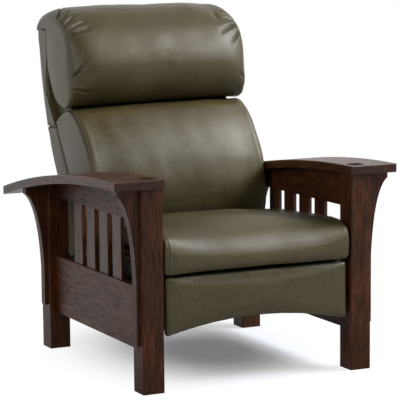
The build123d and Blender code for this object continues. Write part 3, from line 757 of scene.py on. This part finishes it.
def make_headrest():
    """The headrest pillow. It wraps over the top of the back, and its leather is gathered at the top corners."""
    flap = [(409.5, 996.4), (409.5, 996.4)]
    end = [(262, 753), (232, 759), (219, 781), (214, 804), (218, 837), (222, 859), (226, 903), (229, 936), (238, 964),
           (252, 985), (277, 1003), (312, 1018), (350, 1029), (393, 1034), (446, 1027), (481, 1012), (492, 997),
           (491, 986), (484, 984), (484, 984)] + flap + [(396, 867), (378, 830), (340, 789), (300, 762)]
    middle = [(271.5, 755), (215, 784), (180.5, 820.8), (172, 841), (165, 870), (163.9, 890), (170, 920), (180, 945),
              (200, 976), (220, 1000), (250, 1026), (284, 1048), (330, 1066), (380, 1073.5), (442, 1060), (482, 1028),
              (493, 1003), (492, 986), (485, 984), (485, 984)] + flap + [(396.6, 867), (390, 830), (383, 780),
                                                                        (330, 757)]
    head = Cushion("headrest_leather", "headrest_pillow", "reclining_back", end, middle, half=0.305,
                   centre=(325, 1000), fullness=(6.0, 0.5), corner=0.006, inset=0.004,
                   rests=[(240, 760), (262, 752), (384, 770), (397, 867), (409.5, 996.4), (490, 990)],
                   lean=(0.006, 0.86, 0.78))
    head.swell(rest_reach=0.008, reach=0.014, end_reach=0.014)
    head.press_seams(depth=0.0025, width=0.0045)
    head.ripple(seed=8, height=0.0014)
    # Each fold: its place on the seam in the side view, slope, length, depth and width
    near_folds = [
        ((322, 1021), 1.7, 0.060, 0.0110, 0.0070), ((298, 1012), 0.95, 0.050, 0.0120, 0.0055),
        ((276, 1002), 0.60, 0.055, 0.0140, 0.0050), ((257, 989), 0.26, 0.080, 0.0160, 0.0048),
        ((246, 976), 0.12, 0.076, 0.0150, 0.0046), ((221, 851), 1.15, 0.055, 0.0110, 0.0070),
        ((216, 815), -0.15, 0.060, 0.0080, 0.0036),
    ]
    far_folds = [
        ((330, 1023), 0.9, 0.065, 0.0120, 0.0070), ((300, 1013), 0.35, 0.065, 0.0140, 0.0060),
        ((278, 1003), 0.05, 0.050, 0.0130, 0.0050), ((258, 990), -0.35, 0.085, 0.0150, 0.0058),
        ((243, 971), -0.75, 0.055, 0.0120, 0.0055), ((217, 830), 0.5, 0.035, 0.0080, 0.0060),
    ]
    head.gather(-1, near_folds)
    head.gather(1, far_folds)
    head.dent(place=(232, 262, 1032), size=(9, 30, 18), depth=0.0060)
    for side in (-1, 1):
        head.stitch(side_name("headrest_stitches", side), side, stitch_inset, (262, 753), (393, 1034))
    head.keep_painted_crease_shade()


def make_back():
    """The upholstered outer back: a wider part above the seam that runs round it, and a narrower one below."""
    upper = [(343, 687.5), (343, 687.5), (356.6, 708), (403.5, 771.7), (409.4, 984), (413, 994), (424, 995.6),
             (476, 995.6), (486.5, 991), (488.9, 980), (480, 925), (467.1, 846.5), (447, 765), (421.5, 687.5),
             (421.5, 687.5)]
    lower = [(192, 315), (185, 326), (184.1, 340), (181.6, 434), (184.6, 446), (250.4, 550.3), (343, 687.3),
             (343, 687.3), (425, 687.3), (425, 687.3), (402, 622), (370, 561.7), (331, 503), (297, 449.9),
             (289, 420), (288.5, 390.8), (288.5, 345), (282, 320), (262, 293), (252, 286), (240, 287)]
    made = []
    for name, outline, centre, half in (("back_upper_leather", upper, (425, 800), seat_half),
                                        ("back_lower_leather", lower, (265, 490), 0.297)):
        (line,) = even_loops([dense_loop(outline)], 220)
        points, faces = slab_skin(line, np.array(centre) / 1000, -half, half, 0, 0.009, (0.0015, 0.0015))
        piece = mesh_piece(name, points, faces, leather_body, "reclining_back")
        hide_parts("back_shell")
        made.append(piece)
    inner = [(262, 747), (300, 768), (340, 795), (376, 836), (394, 872), (411, 876), (411, 868), (404, 768),
             (360, 705), (352, 700), (340, 700), (300, 725)]
    (line,) = even_loops([dense_loop(inner)], 160)
    half = 0.278
    points, faces = slab_skin(line, (0.365, 0.765), -half, half, 0, 0.004, flat_faces)
    mesh_piece("back_inner_cover", points, faces, leather_body, "reclining_back")
    upper_row = [(414, 975), (412, 775), (366, 712), (356, 695), (424, 695)]
    for name, piece, row in (("back_upper_stitches", made[0], upper_row),
                             ("back_lower_stitches", made[1], [(192, 446), (258, 549), (346, 680)]),
                             ("back_lower_second_stitches", made[1], [(197, 446), (263, 548), (351, 680)])):
        for side in (-1, 1):
            line = filled(row, stitch_length / stitch_points)
            row_at_side = laid(line, side * seat_half, 0)
            thread_on(side_name(name, side), piece, row_at_side, "reclining_back")


def make_deck_cloth():
    """Black cloth over the seat frame's front rail, as wide as the seat."""
    front, rear = -0.4185, -0.3822
    corners = np.array([(-seat_half, front), (seat_half, front), (seat_half, rear), (-seat_half, rear)])
    sides = [np.linspace(corners[i], corners[(i + 1) % 4], 40)[:-1] for i in range(4)]
    (line,) = even_loops([np.vstack(sides)], 240)
    points, faces = slab_skin(line, (0.0, -0.400), 0.3258, 0.3446, 2, 0.0015, flat_faces)
    mesh_piece("seat_deck_cloth", points, faces, black_cloth, "chair_frame")


def make_back_dark_slab():
    """A black slab under the back's lower end, seen dark between the rear post and the slats."""
    outline = [(200, 312), (200, 312), (274, 334), (290, 332), (296, 320), (296, 300), (286, 284), (262, 272),
               (225, 276), (204, 294)]
    (line,) = even_loops([dense_loop(outline)], 160)
    half = 0.2965
    points, faces = slab_skin(line, (0.245, 0.308), -half, half, 0, 0.002, flat_faces)
    mesh_piece("back_bottom_dark_slab", points, faces, black_cloth, "reclining_back")


def make_footrest():
    """The footrest's padded face: an arched panel whose front edge rolls over and whose face is crowned."""
    half, low, high, arch, corner = 0.296, 0.158, 0.3325, 0.038, 0.008
    radius = (half ** 2 + arch ** 2) / (2 * arch)
    x = np.linspace(-half + corner, half - corner, 60)
    lower = np.stack([x, low + arch - radius + np.sqrt(radius ** 2 - x ** 2)], 1)
    turn = np.linspace(0, math.pi / 2, 9)
    right_low = np.stack([half - corner + corner * np.sin(turn), lower[-1, 1] + corner - corner * np.cos(turn)], 1)
    right_high = np.stack([half - corner + corner * np.cos(turn), high - corner + corner * np.sin(turn)], 1)
    left_high = right_high[::-1] * [-1, 1]
    left_low = right_low[::-1] * [-1, 1]
    outline = np.vstack([lower, right_low[1:], right_high, left_high, left_low[:-1]])
    (outline,) = even_loops([outline], 320)
    front, rear = -0.4664, -0.4384
    points, faces = slab_skin(outline, (0.0, 0.255), front + 0.003, rear, 1, 0.011, (0.002, 0.0))
    piece = mesh_piece("footrest_leather", points, faces, leather_body, "footrest")
    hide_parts("footrest_pad")
    remesh(piece)
    free_depth, puff = 0.013, 0.006
    p = places_of(piece.data)
    inflate(piece, p[:, 1] > front + free_depth, np.full(len(p), puff))
    smooth_once(piece)


make_seat()
make_lumbar()
make_headrest()
make_back()
make_footrest()
make_deck_cloth()
make_back_dark_slab()


# Lights, floor and camera

def soft_light(name, place, aim, width, height, power, colour=(1.0, 1.0, 1.0)):
    """A rectangular soft box aimed at a point."""
    lamp = bpy.data.lights.new(name, "AREA")
    lamp.shape = "RECTANGLE"
    lamp.size = width
    lamp.size_y = height
    lamp.energy = power
    lamp.color = colour
    light = bpy.data.objects.new(name, lamp)
    light.location = place
    light.rotation_euler = (Vector(aim) - Vector(place)).to_track_quat("-Z", "Y").to_euler()
    bpy.context.scene.collection.objects.link(light)


def make_camera():
    """The camera, with its forward, right and up directions from its heading, tilt and roll."""
    forward = Vector((-math.sin(heading) * math.cos(tilt), math.cos(heading) * math.cos(tilt), math.sin(tilt)))
    right = Vector((math.cos(heading), math.sin(heading), 0.0))
    up = right.cross(forward)
    turned_right = right * math.cos(roll) + up * math.sin(roll)
    turned_up = up * math.cos(roll) - right * math.sin(roll)
    camera = bpy.data.objects.new("camera", bpy.data.cameras.new("camera"))
    camera.data.lens = lens_mm
    camera.data.sensor_width = 36.0
    camera.data.sensor_fit = "HORIZONTAL"
    camera.data.shift_x = shift_x
    camera.data.shift_y = shift_y
    turn = Matrix((turned_right, turned_up, -forward)).transposed()
    camera.matrix_world = Matrix.Translation(eye) @ turn.to_4x4()
    bpy.context.scene.collection.objects.link(camera)
    bpy.context.scene.camera = camera


def make_world():
    """White to the camera. Reflections see a white backdrop behind the chair and a dim room in front of it,
    and the light from all round is a softer white."""
    world = bpy.data.worlds.new("studio")
    bpy.context.scene.world = world
    p = Paint(world)
    direction = p.node("TexCoord", {}, {}, "Generated")
    backdrop = p.span(p.axis(1, direction), -0.1, 0.6) * (1 - 0.42 * p.span(p.axis(2, direction), 0.3, 0.8))
    reflected = front_reflection + (1 - front_reflection) * backdrop
    camera_ray = p.node("LightPath", {}, {}, "Is Camera Ray")
    glossy_ray = p.node("LightPath", {}, {}, "Is Glossy Ray")
    clear_ray = p.node("LightPath", {}, {}, "Is Transmission Ray")
    seen = p.node("Math", {"operation": "MAXIMUM"}, {0: camera_ray, 1: clear_ray})
    plain = (1 - seen) * (1 - glossy_ray)
    strength = seen + glossy_ray * (1 - seen) * reflected + plain * world_light
    background = p.node("Background", {}, {"Color": white, "Strength": strength})
    p.node("OutputWorld", {}, {"Surface": background})


def make_floor():
    """A plain white floor, lifted to white for the camera by a faint glow, so that it keeps its soft shadow. Away
    from the chair it turns plain white, over an oval. In reflections it is dim near the chair and bright further
    off."""
    mesh = bpy.data.meshes.new("floor")
    mesh.from_pydata([(x * floor_half, y * floor_half, 0.0) for x, y in ((-1, -1), (1, -1), (1, 1), (-1, 1))],
                     [], [(0, 1, 2, 3)])
    floor = bpy.data.objects.new("floor", mesh)
    bpy.context.scene.collection.objects.link(floor)
    p = new_paint("floor_paper")
    camera_ray = p.node("LightPath", {}, {}, "Is Camera Ray")
    glossy_ray = p.node("LightPath", {}, {}, "Is Glossy Ray")
    colour = p.mix(glossy_ray, p.mix(camera_ray, floor_bounce, floor_colour), floor_mirrored)
    diffuse = p.node("BsdfDiffuse", {}, {"Color": colour})
    glow = p.node("Emission", {}, {"Color": white, "Strength": floor_glow})
    glowing = p.node("AddShader", {}, {0: diffuse, 1: glow})
    lit = p.node("MixShader", {}, {0: camera_ray, 1: diffuse, 2: glowing})
    plain = p.node("Emission", {}, {"Color": white, "Strength": 1.0})
    near, front, behind = floor_reflection
    depth = p.axis(1)
    bright = near + (front - near) * p.span(depth, -0.9, -1.7) + (behind - near) * p.span(depth, -0.6, 0.8)
    reach_x, reach_y = shadow_reach
    oval = p.stretched((1 / reach_x, 1 / reach_y, 0.0),
                       shift=(-shadow_centre[0] / reach_x, -shadow_centre[1] / reach_y, 0.0))
    apart = p.node("VectorMath", {"operation": "LENGTH"}, {0: oval}, "Value")
    share = (camera_ray + bright * glossy_ray) * p.span(apart, *shadow_fade)
    p.node("OutputMaterial", {}, {"Surface": p.node("MixShader", {}, {0: share, 1: lit, 2: plain})})
    mesh.materials.append(p.owner)


def dress_frame():
    """Gives each CAD node that stays its material."""
    finishes = {"inner_hardwood": frame_timber, "webbing": black_webbing, "nylon": brown_nylon,
                "zinc_steel": bright_zinc, "black_steel": black_enamel, "leather": leather_body}
    oaks = {"lower_side_rail": oak_lengthwise, "upper_side_rail": oak_lengthwise, "bow_arm": oak_arms,
            "front_cross_rail": oak_crosswise, "rear_cross_rail": oak_crosswise, "slat": oak_slats}
    for part in frame["record"]["subparts"]:
        name, slot = part["node"], part["material_slot"]
        finish = finishes.get(slot, oak_upright)
        for start, wood in oaks.items():
            finish = wood if name.startswith(start) else finish
        mesh = frame["nodes"][name].data
        mesh.materials.clear()
        mesh.materials.append(finish)


dress_frame()
make_floor()
make_world()
soft_light("key", place=(3.2, -1.9, 3.1), aim=(0.0, 0.0, 0.75), width=1.5, height=1.7, power=173.0)
soft_light("top", place=(2.4, -0.7, 3.2), aim=(0.0, -0.2, 0.5), width=1.2, height=1.2, power=71.0)
soft_light("side", place=(-3.4, -1.6, 2.4), aim=(0.0, 0.0, 0.5), width=2.4, height=2.0, power=68.0,
           colour=(1.0, 0.94, 0.87))
make_camera()
bpy.context.scene.view_settings.view_transform = "Standard"
